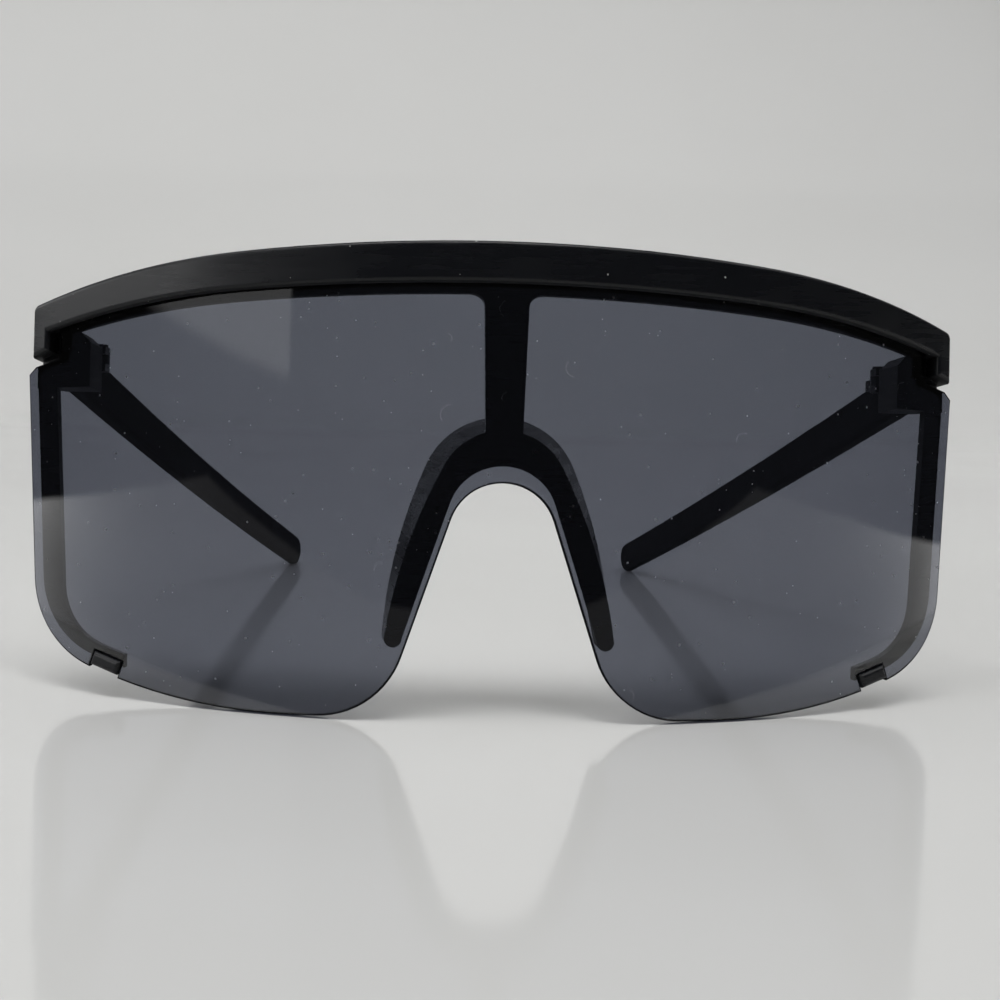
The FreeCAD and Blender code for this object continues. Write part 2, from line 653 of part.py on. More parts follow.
name_part(boolean("Cut", "left_front_leaf", front_leaf, front_leaf_cuts), "left_front_hinge")

half_temple_leaf = f"{cell('temple_leaf_height')} / 2"
leaf_near = f"{knuckle} + {cell('temple_gap')}"
leaf_far = f"{leaf_near} + {cell('leaf_thickness')}"
temple_leaf_low = (leaf_near, f"0 - {knuckle}", f"0 - {half_temple_leaf}")
temple_leaf_high = (leaf_far, cell("temple_leaf_length"), half_temple_leaf)
web_low = ("0", f"0 - {knuckle}", f"0 - {half_temple_knuckle}")
web_high = (leaf_far, knuckle, half_temple_knuckle)
temple_plate = block("temple_plate", temple_leaf_low, temple_leaf_high, hinge)
temple_web = block("temple_web", web_low, web_high, hinge)
temple_barrel = rod("temple_barrel", knuckle, cell("temple_knuckle"), at_height(-size("temple_knuckle") / 2))
running_hole = rod(
    "running_hole",
    f"{cell('pin_radius')} + {cell('running_gap')}",
    f"2 * ({knuckle_end})",
    at_height(-barrel_half),
)
temple_holes = [countersunk_hole(f"temple_hole_{order}", spot) for order, spot in temple_screws]
temple_leaf = joined("temple_leaf", [temple_plate, temple_web, temple_barrel])
temple_leaf_cuts = joined("temple_leaf_cuts", temple_holes + [running_hole])
name_part(boolean("Cut", "left_temple_leaf", temple_leaf, temple_leaf_cuts), "left_temple_hinge")

# Hinge screw: a slotted cheese head on a plain shank, turned in the knuckles
slot_half = f"{cell('driver_slot')} / 2"


def driver_slot(name, radius, top, place):
    low = (f"0 - {radius}", f"0 - {slot_half}", f"{top} - {cell('driver_slot')}")
    return block(name, low, (radius, slot_half, top), place)


pin_shank = rod("pin_shank", cell("pin_radius"), f"2 * ({knuckle_end})", at_height(-barrel_half))
pin_head = rod("pin_head", cell("pin_head_radius"), cell("pin_head_height"), at_height(barrel_half))
pin_solid = joined("pin_solid", [pin_shank, pin_head])
pin_slot = driver_slot("pin_slot", cell("pin_head_radius"), cell("pin_head_height"), at_height(barrel_half))
name_part(boolean("Cut", "hinge_screw", pin_solid, pin_slot), "left_hinge_screw")


# Small screws: countersunk, flush with the leaf
def leaf_screw(name, spot):
    body = doc.addObject("PartDesign::Body", name)
    plane = [p for p in body.Origin.OriginFeatures if p.Role == "XZ_Plane"][0]
    sketch = body.newObject("Sketcher::SketchObject", name + "_profile")
    sketch.AttachmentSupport = [(plane, "")]
    sketch.MapMode = "FlatFace"
    radius, head, length = size("leaf_screw_radius"), size("leaf_screw_head"), size("leaf_screw_length")
    profile = [(0, 0), (head, 0), (radius, head - radius), (radius, length), (0, length)]
    draw(sketch, polygon([Vector(x, y, 0) for x, y in profile]))
    turned = body.newObject("PartDesign::Revolution", name + "_turned")
    turned.Profile = sketch
    turned.ReferenceAxis = (sketch, ["V_Axis"])
    turned.Angle = 360
    slot_plane = [p for p in body.Origin.OriginFeatures if p.Role == "XY_Plane"][0]
    slot_sketch = body.newObject("Sketcher::SketchObject", name + "_slot_outline")
    slot_sketch.AttachmentSupport = [(slot_plane, "")]
    slot_sketch.MapMode = "FlatFace"
    half = size("driver_slot") / 2
    corners = [(-head, -half), (head, -half), (head, half), (-head, half)]
    draw(slot_sketch, polygon([Vector(x, y, 0) for x, y in corners]))
    cut = body.newObject("PartDesign::Pocket", name + "_slot")
    cut.Profile = slot_sketch
    cut.Reversed = True
    cut.setExpression("Length", cell("driver_slot"))
    body.Placement = spot
    return body


for level, spot in front_screws:
    name_part(leaf_screw(f"front_screw_{level}", spot), f"left_front_leaf_screw_{level}")
for order, spot in temple_screws:
    name_part(leaf_screw(f"temple_screw_{order}", spot), f"left_temple_leaf_screw_{order}")


# Temple: a moulded arm, straight at the hinge and bowed inwards to its tip
def lens_foot(lean):
    """Height of the lens's lowest point once it leans back."""
    sweep = Vector(size("lobe_offset"), size("bottom_radius"), 0)
    corner = lower_corner(0, 0)[3].x
    steps = 400
    heights = []
    for step in range(steps):
        x = sweep.x + (corner - sweep.x) * step / steps
        depth = size("lens_radius") - math.sqrt(rear_radius**2 - x**2)
        height = sweep_point(x, sweep, size("bottom_radius")).y
        heights.append(height * math.cos(lean) - depth * math.sin(lean))
    return min(heights)


bow_radius = (size("temple_reach") - size("temple_straight")) / math.sin(math.radians(size("temple_turn")))


def temple_plan_runs():
    """Plan of the temple in the hinge's own axes, a little longer than the arm."""
    turn = size("temple_turn")
    straight = size("temple_straight")
    start = size("butt_gap") - size("leaf_setback")
    centre = Vector(temple_inside - bow_radius, straight, 0)
    past = turn + math.degrees(size("temple_tip_radius") / bow_radius)
    thicknesses = size("temple_front_thickness"), size("temple_tip_thickness")
    inner, outer = [], []
    for share in (0, 0.5, 1):
        thickness = thicknesses[0] + (thicknesses[1] - thicknesses[0]) * share
        inner.append(centre + polar(bow_radius, past * share))
        outer.append(centre + polar(bow_radius + thickness, past * share))
    return [
        (Vector(temple_inside, start, 0), inner[0]),
        tuple(inner),
        (inner[2], outer[2]),
        tuple(reversed(outer)),
        (outer[0], Vector(temple_outside, start, 0)),
        (Vector(temple_outside, start, 0), Vector(temple_inside, start, 0)),
    ]


def temple_side_runs():
    """Side view of the temple in the hinge's own axes, down to the table at the tip."""
    lean = math.radians(size("stand_lean"))
    radius = size("temple_tip_radius")
    tip_y = size("temple_reach") - radius
    sway = temple_inside - bow_radius * (1 - math.cos(math.radians(size("temple_turn"))))
    depth = hinge.multVec(Vector(sway, tip_y, 0)).y
    height = (lens_foot(lean) + radius + depth * math.sin(lean)) / math.cos(lean)
    tip = Vector(tip_y, height - hinge_height, 0)
    start = size("butt_gap") - size("leaf_setback")
    middle = Vector(start, -size("temple_sink"), 0)
    half = Vector(0, size("temple_front_height") / 2, 0)
    touch = []
    for corner, side in ((middle + half, 1), (middle - half, -1)):
        reach = tip - corner
        bearing = math.degrees(math.atan2(-reach.y, -reach.x))
        opening = math.degrees(math.acos(radius / reach.Length))
        touch.append(tip + polar(radius, bearing - side * opening))
    end = tip + (tip - middle).normalize() * radius
    return [
        (middle - half, touch[1]),
        (touch[1], end, touch[0]),
        (touch[0], middle + half),
        (middle + half, middle - half),
    ]


temple = doc.addObject("PartDesign::Body", "temple")
plan_plane = [p for p in temple.Origin.OriginFeatures if p.Role == "XY_Plane"][0]
side_plane = [p for p in temple.Origin.OriginFeatures if p.Role == "YZ_Plane"][0]
plan_sketch = temple.newObject("Sketcher::SketchObject", "temple_plan")
plan_sketch.AttachmentSupport = [(plan_plane, "")]
plan_sketch.MapMode = "FlatFace"
draw(plan_sketch, temple_plan_runs())
temple_pad = temple.newObject("PartDesign::Pad", "temple_pad")
temple_pad.Profile = plan_sketch
temple_pad.Midplane = True
temple_pad.setExpression("Length", f"2 * {cell('temple_reach')}")
side_sketch = temple.newObject("Sketcher::SketchObject", "temple_side")
side_sketch.AttachmentSupport = [(side_plane, "")]
side_sketch.MapMode = "FlatFace"
far = 2 * size("temple_reach")
surround = [Vector(-far, -far, 0), Vector(far, -far, 0), Vector(far, far, 0), Vector(-far, far, 0)]
draw(side_sketch, polygon(surround) + temple_side_runs())
temple_trim = temple.newObject("PartDesign::Pocket", "temple_trim")
temple_trim.Profile = side_sketch
temple_trim.Midplane = True
temple_trim.setExpression("Length", f"2 * {cell('temple_reach')}")
doc.recompute()


def on_temple_side(edge):
    """True for the edges round the temple's inner and outer faces, apart from the front end."""
    front = size("butt_gap") - size("leaf_setback") + TOUCH
    ends = [vertex.Point for vertex in edge.Vertexes]
    middle = edge.valueAt((edge.FirstParameter + edge.LastParameter) / 2)
    square_end = all(point.y < front for point in ends)
    across = len(ends) == 2 and abs(ends[0].z - ends[1].z) < TOUCH and edge.Length < temple_outside
    return middle.y > front and not square_end and not across


temple_edges = [f"Edge{i}" for i, edge in enumerate(temple_trim.Shape.Edges, start=1) if on_temple_side(edge)]
temple_rounding = temple.newObject("PartDesign::Fillet", "temple_rounding")
temple_rounding.Base = (temple_trim, temple_edges)
temple_rounding.setExpression("Radius", cell("temple_round"))
temple.Placement = hinge
doc.recompute()

seat_low, seat_high = widened(temple_leaf_low, temple_leaf_high, cell("seat_gap"))
temple_seat = block("temple_seat", seat_low, seat_high, hinge)
temple_pilots = [rod(f"temple_pilot_{order}", pilot_radius, pilot_length, spot) for order, spot in temple_screws]
temple_cuts = joined("temple_cuts", [temple_seat] + temple_pilots)
name_part(boolean("Cut", "left_arm", temple, temple_cuts), "left_temple")

# The right side is the mirror image of the left
for label in [label for label in parts if label.startswith("left_")]:
    name_part(mirror_image("mirror_" + label, parts[label]), label.replace("left_", "right_", 1))
doc.recompute()

# The object leans back until the lens and the temple tips stand on the table
lean_back = Placement(Vector(), Rotation(Vector(1, 0, 0), -size("stand_lean")))
box = FreeCAD.BoundBox()
for feature in parts.values():
    leaned = feature.Shape.copy()
    leaned.Placement = lean_back * leaned.Placement
    box.add(leaned.optimalBoundingBox(False, False))
stand = Placement(Vector(0, -box.Center.y, -box.ZMin), Rotation()) * lean_back

for feature in doc.Objects:
    if "Invalid" in feature.State or "Error" in feature.State:
        raise RuntimeError(f"{feature.Name} failed: {feature.State}")
os.makedirs("parts", exist_ok=True)
for label, feature in parts.items():
    shape = feature.Shape.copy()
    if shape.isNull() or not shape.isValid() or len(shape.Solids) != 1:
        raise RuntimeError(f"{label} is not one valid solid")
    feature.Placement = stand * feature.Placement
    feature.Shape.exportStep(f"parts/{label}.step")
    print(label, round(feature.Shape.Volume, 2))
print("hinge axis at", stand.multVec(hinge.Base), "along", stand.Rotation.multVec(UP))
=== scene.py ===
import json
import math

import bpy
from mathutils import Matrix, Vector

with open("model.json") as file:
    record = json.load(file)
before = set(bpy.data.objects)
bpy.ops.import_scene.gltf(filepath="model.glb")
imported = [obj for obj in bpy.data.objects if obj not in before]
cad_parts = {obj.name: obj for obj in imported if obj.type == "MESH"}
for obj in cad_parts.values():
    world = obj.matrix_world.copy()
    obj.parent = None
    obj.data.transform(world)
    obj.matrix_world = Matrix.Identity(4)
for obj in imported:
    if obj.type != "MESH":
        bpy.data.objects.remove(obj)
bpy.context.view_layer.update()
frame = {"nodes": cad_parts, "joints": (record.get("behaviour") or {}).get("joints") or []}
scene = bpy.context.scene
scene.view_settings.view_transform = "Standard"

# Front frame: one moulding of satin black nylon, with the brow that grips the lens, the side rims,
# the hooks, the centre bar, the nose arch and the two ends that carry the hinges. It leaves the
# mould with a fine even grain, duller where the mould's cores shaped it, and dust settles in it.
MM = 0.001
NYLON_BLACK = (0.0046, 0.005, 0.0063, 1.0)
NYLON_WORN = (0.030, 0.031, 0.034, 1.0)
NYLON_IOR = 1.53
NYLON_GRAIN = 0.16
NYLON_GRAIN_DEPTH = 0.035 * MM
NYLON_BLOTCH = 14.0
NYLON_UNEVENNESS = 0.05
FLOW_MARK = 0.7
EDGE_ROUNDING = 0.22 * MM
EDGE_WEAR = 0.5
CORE_DULLNESS = 0.4
DUST_GREY = (0.30, 0.30, 0.29, 1.0)
DUST_DULLNESS = 0.5
FRAME_ROUGHNESS = 0.28
FRAME_SHEEN = 0.22
FRAME_FLOW = (14.0, 14.0, 1.0)


def new_node(tree, kind, **settings):
    """A new shader node. Settings name its own options or, with _ for a space, its sockets."""
    made = tree.nodes.new("ShaderNode" + kind)
    for name, value in settings.items():
        if hasattr(made, name):
            setattr(made, name, value)
        else:
            made.inputs[name.replace("_", " ")].default_value = value
    return made


def feed(tree, socket, value):
    """Links a socket to another, or sets it to a plain value."""
    if isinstance(value, bpy.types.NodeSocket):
        tree.links.new(value, socket)
    else:
        socket.default_value = value


def maths(tree, operation, *values, clamp=False):
    """The output of a Math node fed with sockets or numbers."""
    made = new_node(tree, "Math", operation=operation, use_clamp=clamp)
    for socket, value in zip(made.inputs, values):
        feed(tree, socket, value)
    return made.outputs[0]


def product(tree, first, *others):
    """Several sockets or numbers multiplied together."""
    for other in others:
        first = maths(tree, "MULTIPLY", first, other)
    return first


def vectors(tree, operation, *values, output="Vector"):
    """The output of a Vector Math node fed with sockets or vectors."""
    made = new_node(tree, "VectorMath", operation=operation)
    for socket, value in zip(made.inputs, values):
        feed(tree, socket, value)
    return made.outputs[output]


def axes_of(tree, vector):
    """The X, Y and Z sockets of a vector."""
    made = new_node(tree, "SeparateXYZ")
    feed(tree, made.inputs["Vector"], vector)
    return made.outputs


def ramp(tree, value, start, end, low=0.0, high=1.0):
    """A smooth step from low to high as a value goes from start to end."""
    made = new_node(tree, "MapRange", interpolation_type="SMOOTHSTEP")
    for name, given in (("Value", value), ("From Min", start), ("From Max", end)):
        feed(tree, made.inputs[name], given)
    made.inputs["To Min"].default_value = low
    made.inputs["To Max"].default_value = high
    return made.outputs["Result"]


def blended(tree, share, first, second):
    """A colour that goes from the first to the second with the share."""
    made = new_node(tree, "MixRGB")
    feed(tree, made.inputs["Fac"], share)
    feed(tree, made.inputs["Color1"], first)
    feed(tree, made.inputs["Color2"], second)
    return made.outputs["Color"]


def object_place(tree):
    return new_node(tree, "TexCoord").outputs["Object"]


def object_normal(tree):
    return new_node(tree, "TexCoord").outputs["Normal"]


def soft_edges(tree, radius, samples):
    """Normals rounded over at edges, and how far they stay in line with the faces."""
    rounded = new_node(tree, "Bevel", samples=samples, Radius=radius).outputs["Normal"]
    true_normal = new_node(tree, "NewGeometry").outputs["True Normal"]
    return rounded, vectors(tree, "DOT_PRODUCT", rounded, true_normal, output="Value")


def noise(tree, place, size, detail=2.0):
    """Soft noise whose blotches are about this many millimetres."""
    made = new_node(tree, "TexNoise", Detail=detail)
    feed(tree, made.inputs["Vector"], place)
    feed(tree, made.inputs["Scale"], maths(tree, "DIVIDE", 1 / MM, size))
    return made.outputs["Fac"]


def new_group(name, inputs, outputs):
    """An empty shader node group with number sockets; returns it with its two end nodes."""
    group = bpy.data.node_groups.new(name, "ShaderNodeTree")
    for title in inputs:
        group.interface.new_socket(title, in_out="INPUT", socket_type="NodeSocketFloat")
    for title in outputs:
        group.interface.new_socket(title, in_out="OUTPUT", socket_type="NodeSocketFloat")
    entry, leave = group.nodes.new("NodeGroupInput"), group.nodes.new("NodeGroupOutput")
    return group, entry.outputs, leave.inputs


def use_group(tree, group, **values):
    """The outputs of a node group placed in a tree with its own values."""
    made = tree.nodes.new("ShaderNodeGroup")
    made.node_tree = group
    for name, value in values.items():
        made.inputs[name].default_value = value
    return made.outputs


def scattered(tree, place, spacing, flat):
    """Cells of a spacing in millimetres, and three numbers drawn for each cell."""
    cells = new_node(tree, "TexVoronoi", voronoi_dimensions="2D" if flat else "3D")
    feed(tree, cells.inputs["Vector"], place)
    feed(tree, cells.inputs["Scale"], maths(tree, "DIVIDE", 1 / MM, spacing))
    lot = new_node(tree, "SeparateColor")
    feed(tree, lot.inputs["Color"], cells.outputs["Color"])
    return cells.outputs, lot.outputs


# Dust: uneven specks, one to a cell, in a share of the cells. Sizes are in millimetres.
settled_dust, given, result = new_group("settled_dust", ("Spacing", "Speck", "Share"), ("Mask",))
spot = object_place(settled_dust)
cells, lot = scattered(settled_dust, spot, given["Spacing"], False)
ragged = maths(settled_dust, "ADD", 0.4, noise(settled_dust, spot, 0.12))
drawn = maths(settled_dust, "POWER", lot["Green"], 2.0)
speck = product(settled_dust, drawn, ragged, given["Speck"])
reach = maths(settled_dust, "DIVIDE", speck, given["Spacing"])
inside = maths(settled_dust, "LESS_THAN", cells["Distance"], reach)
chosen = maths(settled_dust, "LESS_THAN", lot["Red"], given["Share"])
feed(settled_dust, result["Mask"], product(settled_dust, inside, chosen))

# Grain: the height of a fine spark-eroded mould finish, and slow blotches from handling
mould_grain, given, result = new_group("mould_grain", ("Grain", "Blotch"), ("Height", "Blotches"))
spot = object_place(mould_grain)
feed(mould_grain, result["Height"], noise(mould_grain, spot, given["Grain"], 3.0))
feed(mould_grain, result["Blotches"], noise(mould_grain, spot, given["Blotch"], 4.0))


def new_material(name):
    """A node material; returns it with its tree and its shader."""
    material = bpy.data.materials.new(name)
    material.use_nodes = True
    return material, material.node_tree, material.node_tree.nodes["Principled BSDF"]


def core_side(tree):
    """Where a moulding faces down or towards the wearer's nose, as the mould's cores shaped it."""
    facing = axes_of(tree, object_normal(tree))
    side = maths(tree, "SIGN", axes_of(tree, object_place(tree))["X"])
    inward = ramp(tree, product(tree, facing["X"], side), -0.5, -0.8)
    return maths(tree, "MAXIMUM", inward, ramp(tree, facing["Z"], -0.5, -0.8))


def nylon(name, roughness, sheen, streak):
    """Satin black nylon. The streak is how far the flow marks are drawn out along x, y, z."""
    material, tree, shader = new_material(name)
    rounded, in_line = soft_edges(tree, EDGE_ROUNDING, 6)
    worn = ramp(tree, in_line, 0.995, 0.90)
    grain = use_group(tree, mould_grain, Grain=NYLON_GRAIN, Blotch=NYLON_BLOTCH)
    flow = noise(tree, vectors(tree, "DIVIDE", object_place(tree), streak), FLOW_MARK, 3.0)
    specks = use_group(tree, settled_dust, Spacing=1.8, Speck=0.2, Share=0.3)["Mask"]
    bump = new_node(tree, "Bump", Strength=0.25, Distance=NYLON_GRAIN_DEPTH)
    feed(tree, bump.inputs["Height"], grain["Height"])
    feed(tree, bump.inputs["Normal"], rounded)
    feed(tree, shader.inputs["Normal"], bump.outputs["Normal"])
    rubbed = product(tree, worn, ramp(tree, grain["Blotches"], 0.4, 0.7), EDGE_WEAR)
    colour = blended(tree, rubbed, NYLON_BLACK, NYLON_WORN)
    feed(tree, shader.inputs["Base Color"], blended(tree, specks, colour, DUST_GREY))
    swing = (-NYLON_UNEVENNESS, NYLON_UNEVENNESS)
    uneven = maths(tree, "ADD", ramp(tree, flow, 0.25, 0.75, *swing), roughness)
    uneven = maths(tree, "ADD", uneven, ramp(tree, grain["Blotches"], 0.3, 0.7, *swing))
    uneven = maths(tree, "ADD", uneven, product(tree, core_side(tree), CORE_DULLNESS))
    uneven = maths(tree, "ADD", uneven, product(tree, specks, DUST_DULLNESS))
    feed(tree, shader.inputs["Roughness"], uneven)
    shader.inputs["IOR"].default_value = NYLON_IOR
    shader.inputs["Specular IOR Level"].default_value = sheen
    return material


def dress(node_name, material):
    frame["nodes"][node_name].material_slots[0].material = material


dress("front_frame", nylon("front_frame_nylon", FRAME_ROUGHNESS, FRAME_SHEEN, FRAME_FLOW))

# Lens: one sheet of smoke polycarbonate, curved one way, cut to outline and notched for the frame's
# hooks. It slides up into the brow's groove and hangs on the hooks. Its faces are polished. Its cut
# edge and a thin band of the faces along it are painted near-black and matt, a painted dark
# outline for the shade along the edge. It carries a little dust and a few bits of lint.
SMOKE_FACE = (0.40, 0.415, 0.455, 1.0)
SMOKE_SPECK = (0.95, 0.95, 0.93, 1.0)
SMOKE_DEPTH_COLOUR = (0.0, 0.03, 0.15, 1.0)
SMOKE_DEPTH_DENSITY = 480.0
SMOKE_SHADOW = (0.55, 0.56, 0.60, 1.0)
POLYCARBONATE_IOR = 1.58
# Painted shade: the near-black colour of the lens's painted dark outline, and how far it reaches
# onto the faces
CUT_EDGE_PAINTED_SHADE = (0.006, 0.006, 0.007, 1.0)
PAINTED_OUTLINE_WIDTH = 0.45 * MM
CUT_EDGE_TURN = 0.8
SMEAR = 22.0
SMEAR_HAZE = 0.03
LINT_STRENGTH = 0.5
MARK_DULLNESS = 0.5
LENS_CURVE_CENTRE = (0.0, 39.68 * MM, -14.22 * MM)
LENS_CURVE_AXIS = frame["joints"][0]["axis"]


def layered(tree, share, under, over):
    """A shader that goes from one to another with the share."""
    made = new_node(tree, "MixShader")
    for socket, value in zip(made.inputs, (share, under, over)):
        feed(tree, socket, value)
    return made.outputs["Shader"]


# Lint: short bent fibres, seen from the front, in a share of the cells. Sizes are in millimetres.
lint, given, result = new_group("lint", ("Spacing", "Length", "Width", "Share"), ("Mask",))
spot = axes_of(lint, object_place(lint))
flat = new_node(lint, "CombineXYZ")
feed(lint, flat.inputs["X"], spot["X"])
feed(lint, flat.inputs["Y"], spot["Z"])
cells, lot = scattered(lint, flat.outputs["Vector"], given["Spacing"], True)
away = vectors(lint, "SUBTRACT", flat.outputs["Vector"], cells["Position"])
across = maths(lint, "DIVIDE", vectors(lint, "LENGTH", away, output="Value"), MM)
bend = product(lint, given["Length"], maths(lint, "ADD", lot["Green"], 0.3))
off_line = maths(lint, "ABSOLUTE", maths(lint, "SUBTRACT", across, bend))
line = maths(lint, "LESS_THAN", off_line, given["Width"])
turned = axes_of(lint, away)
heading = maths(lint, "ARCTAN2", turned["Y"], turned["X"])
heading = maths(lint, "MULTIPLY_ADD", lot["Blue"], 2 * math.pi, heading)
sector = maths(lint, "GREATER_THAN", maths(lint, "COSINE", heading), 0.4)
chosen = maths(lint, "LESS_THAN", lot["Red"], given["Share"])
feed(lint, result["Mask"], product(lint, line, sector, chosen))

material, tree, shader = new_material("smoke_polycarbonate")
from_centre = vectors(tree, "SUBTRACT", object_place(tree), LENS_CURVE_CENTRE)
along_axis = vectors(tree, "PROJECT", from_centre, LENS_CURVE_AXIS)
outwards = vectors(tree, "NORMALIZE", vectors(tree, "SUBTRACT", from_centre, along_axis))
# Painted shade: a mask of the cut edge's faces and a thin band of the faces beside them, for the
# dark outline
facing = vectors(tree, "DOT_PRODUCT", object_normal(tree), outwards, output="Value")
painted_outline = maths(tree, "LESS_THAN", maths(tree, "ABSOLUTE", facing), CUT_EDGE_TURN)
in_line = soft_edges(tree, PAINTED_OUTLINE_WIDTH, 8)[1]
painted_outline = maths(tree, "MAXIMUM", painted_outline, ramp(tree, in_line, 0.998, 0.98))
specks = use_group(tree, settled_dust, Spacing=1.4, Speck=0.22, Share=0.4)["Mask"]
fibres = use_group(tree, lint, Spacing=9.0, Length=1.2, Width=0.04, Share=0.14)["Mask"]
marks = maths(tree, "ADD", specks, product(tree, fibres, LINT_STRENGTH), clamp=True)
smears = ramp(tree, noise(tree, object_place(tree), SMEAR, 3.0), 0.5, 0.8, 0.0, SMEAR_HAZE)
feed(tree, shader.inputs["Base Color"], blended(tree, marks, SMOKE_FACE, SMOKE_SPECK))
haze = maths(tree, "ADD", smears, product(tree, marks, MARK_DULLNESS))
feed(tree, shader.inputs["Roughness"], haze)
shader.inputs["IOR"].default_value = POLYCARBONATE_IOR
shader.inputs["Transmission Weight"].default_value = 1.0
depth = new_node(
    tree, "VolumeAbsorption", Color=SMOKE_DEPTH_COLOUR, Density=SMOKE_DEPTH_DENSITY
)
light_through = new_node(tree, "BsdfTransparent", Color=SMOKE_SHADOW)
# Painted shade: a near-black matt shader laid on that mask as the lens's dark outline
painted_dark_edge = new_node(tree, "BsdfDiffuse", Color=CUT_EDGE_PAINTED_SHADE)
with_painted_outline = layered(tree, painted_outline, shader.outputs["BSDF"], painted_dark_edge.outputs["BSDF"])
shadowed = new_node(tree, "LightPath").outputs["Is Shadow Ray"]
surface = layered(tree, shadowed, with_painted_outline, light_through.outputs["BSDF"])
feed(tree, tree.nodes["Material Output"].inputs["Surface"], surface)
feed(tree, tree.nodes["Material Output"].inputs["Volume"], depth.outputs["Volume"])
dress("shield_lens", material)

# Hinges: stamped steel leaves with rolled knuckles, blackened and let into seats in the front frame
# and the temples, with the turned screws that hold the leaves and join the knuckles.
BLACKENED_STEEL = (0.045, 0.045, 0.050, 1.0)
BLACKENED_ROUGHNESS = 0.30
TURNED_STEEL = (0.10, 0.10, 0.105, 1.0)
TURNED_ROUGHNESS = 0.24
TARNISH = (0.02, 0.019, 0.018, 1.0)
TARNISH_BLOTCH = 1.1
TARNISH_STRENGTH = 0.6
TARNISH_DULLNESS = 0.12
TOOL_MARK = 0.05
TOOL_MARK_DEPTH = 0.01 * MM
STEEL_EDGE = 0.08 * MM
SCREWS = (
    "hinge_screw", "front_leaf_screw_upper", "front_leaf_screw_lower",
    "temple_leaf_screw_front", "temple_leaf_screw_rear",
)


def steel(name, colour, roughness, streak):
    """Metal with fine tool marks drawn out along x, y, z, and tarnish in blotches."""
    material, tree, shader = new_material(name)
    marks = noise(tree, vectors(tree, "DIVIDE", object_place(tree), streak), TOOL_MARK, 3.0)
    blotches = ramp(tree, noise(tree, object_place(tree), TARNISH_BLOTCH, 3.0), 0.45, 0.75)
    bump = new_node(tree, "Bump", Strength=0.2, Distance=TOOL_MARK_DEPTH)
    rounded = new_node(tree, "Bevel", samples=4, Radius=STEEL_EDGE).outputs["Normal"]
    feed(tree, bump.inputs["Height"], marks)
    feed(tree, bump.inputs["Normal"], rounded)
    feed(tree, shader.inputs["Normal"], bump.outputs["Normal"])
    tarnished = blended(tree, product(tree, blotches, TARNISH_STRENGTH), colour, TARNISH)
    feed(tree, shader.inputs["Base Color"], tarnished)
    uneven = maths(tree, "ADD", ramp(tree, marks, 0.3, 0.7, -0.06, 0.06), roughness)
    uneven = maths(tree, "ADD", uneven, product(tree, blotches, TARNISH_DULLNESS))
    feed(tree, shader.inputs["Roughness"], uneven)
    shader.inputs["Metallic"].default_value = 1.0
    return material


leaf_steel = steel(
    "blackened_leaf_steel", BLACKENED_STEEL, BLACKENED_ROUGHNESS, (1.0, 8.0, 1.0)
)
screw_steel = steel("turned_screw_steel", TURNED_STEEL, TURNED_ROUGHNESS, (1.0, 1.0, 1.0))
for side in ("left", "right"):
    for leaf in ("front_hinge", "temple_hinge"):
        dress(f"{side}_{leaf}", leaf_steel)
    for screw in SCREWS:
        dress(f"{side}_{screw}", screw_steel)

# Temples: the two arms that fold, each moulded in one piece from the same nylon and left with the
# mould's duller finish. Each is screwed to its hinge leaf and turns on the hinge screw.
TEMPLE_ROUGHNESS = 0.46
TEMPLE_SHEEN = 0.08
TEMPLE_FLOW = (1.0, 14.0, 4.0)
temple_nylon = nylon("temple_nylon", TEMPLE_ROUGHNESS, TEMPLE_SHEEN, TEMPLE_FLOW)
for side in ("left", "right"):
    dress(f"{side}_temple", temple_nylon)

# Table and backdrop: one pale, slightly glossy sheet that runs back from under the glasses and
# curves up behind them. It is matt where other things mirror it, and far off it fades into the
# pale background. It is the stage, not the object.
SWEEP_FRONT = -3.0
SWEEP_BACK = 1.1
SWEEP_HALF_WIDTH = 4.0
SWEEP_HEIGHT = 2.6
SWEEP_BEND = 0.55
SWEEP_BEND_STEPS = 24
SHEET_WHITE = (0.72, 0.72, 0.705, 1.0)
SHEET_PALER = (0.76, 0.76, 0.75, 1.0)
SHEET_MOTTLE = 180.0
SHEET_ROUGHNESS = (0.07, 0.11)
BACKGROUND = (0.60, 0.60, 0.595, 1.0)
FADE_AHEAD = (-0.45, -0.2)
FADE_ASIDE = (0.5, 0.8)
MIRRORED_REACH = (0.3, 0.6)
MIRRORED_BACK = (0.2, 0.05)

for thing in bpy.context.selected_objects:
    thing.select_set(False)
bpy.ops.mesh.primitive_plane_add(size=2)
sweep = bpy.context.active_object
sweep.name = "studio_sweep"
for corner in sweep.data.vertices:
    corner.select = corner.co.y > 0
    corner.co.x *= SWEEP_HALF_WIDTH
    corner.co.y = SWEEP_BACK if corner.select else SWEEP_FRONT
for edge in sweep.data.edges:
    edge.select = all(sweep.data.vertices[end].select for end in edge.vertices)
for face in sweep.data.polygons:
    face.select = False
bpy.ops.object.mode_set(mode="EDIT")
bpy.ops.mesh.select_mode(type="EDGE")
bpy.ops.mesh.extrude_region_move(TRANSFORM_OT_translate={"value": (0, 0, SWEEP_HEIGHT)})
bpy.ops.object.mode_set(mode="OBJECT")
cove = sweep.modifiers.new("cove", "BEVEL")
cove.width = SWEEP_BEND
cove.segments = SWEEP_BEND_STEPS
bpy.ops.object.modifier_apply(modifier=cove.name)
bpy.ops.object.shade_smooth()


def straight_rays(rays):
    """Rays from the camera, also those that have gone through the lens."""
    return rays["Is Camera Ray"], rays["Is Transmission Ray"]


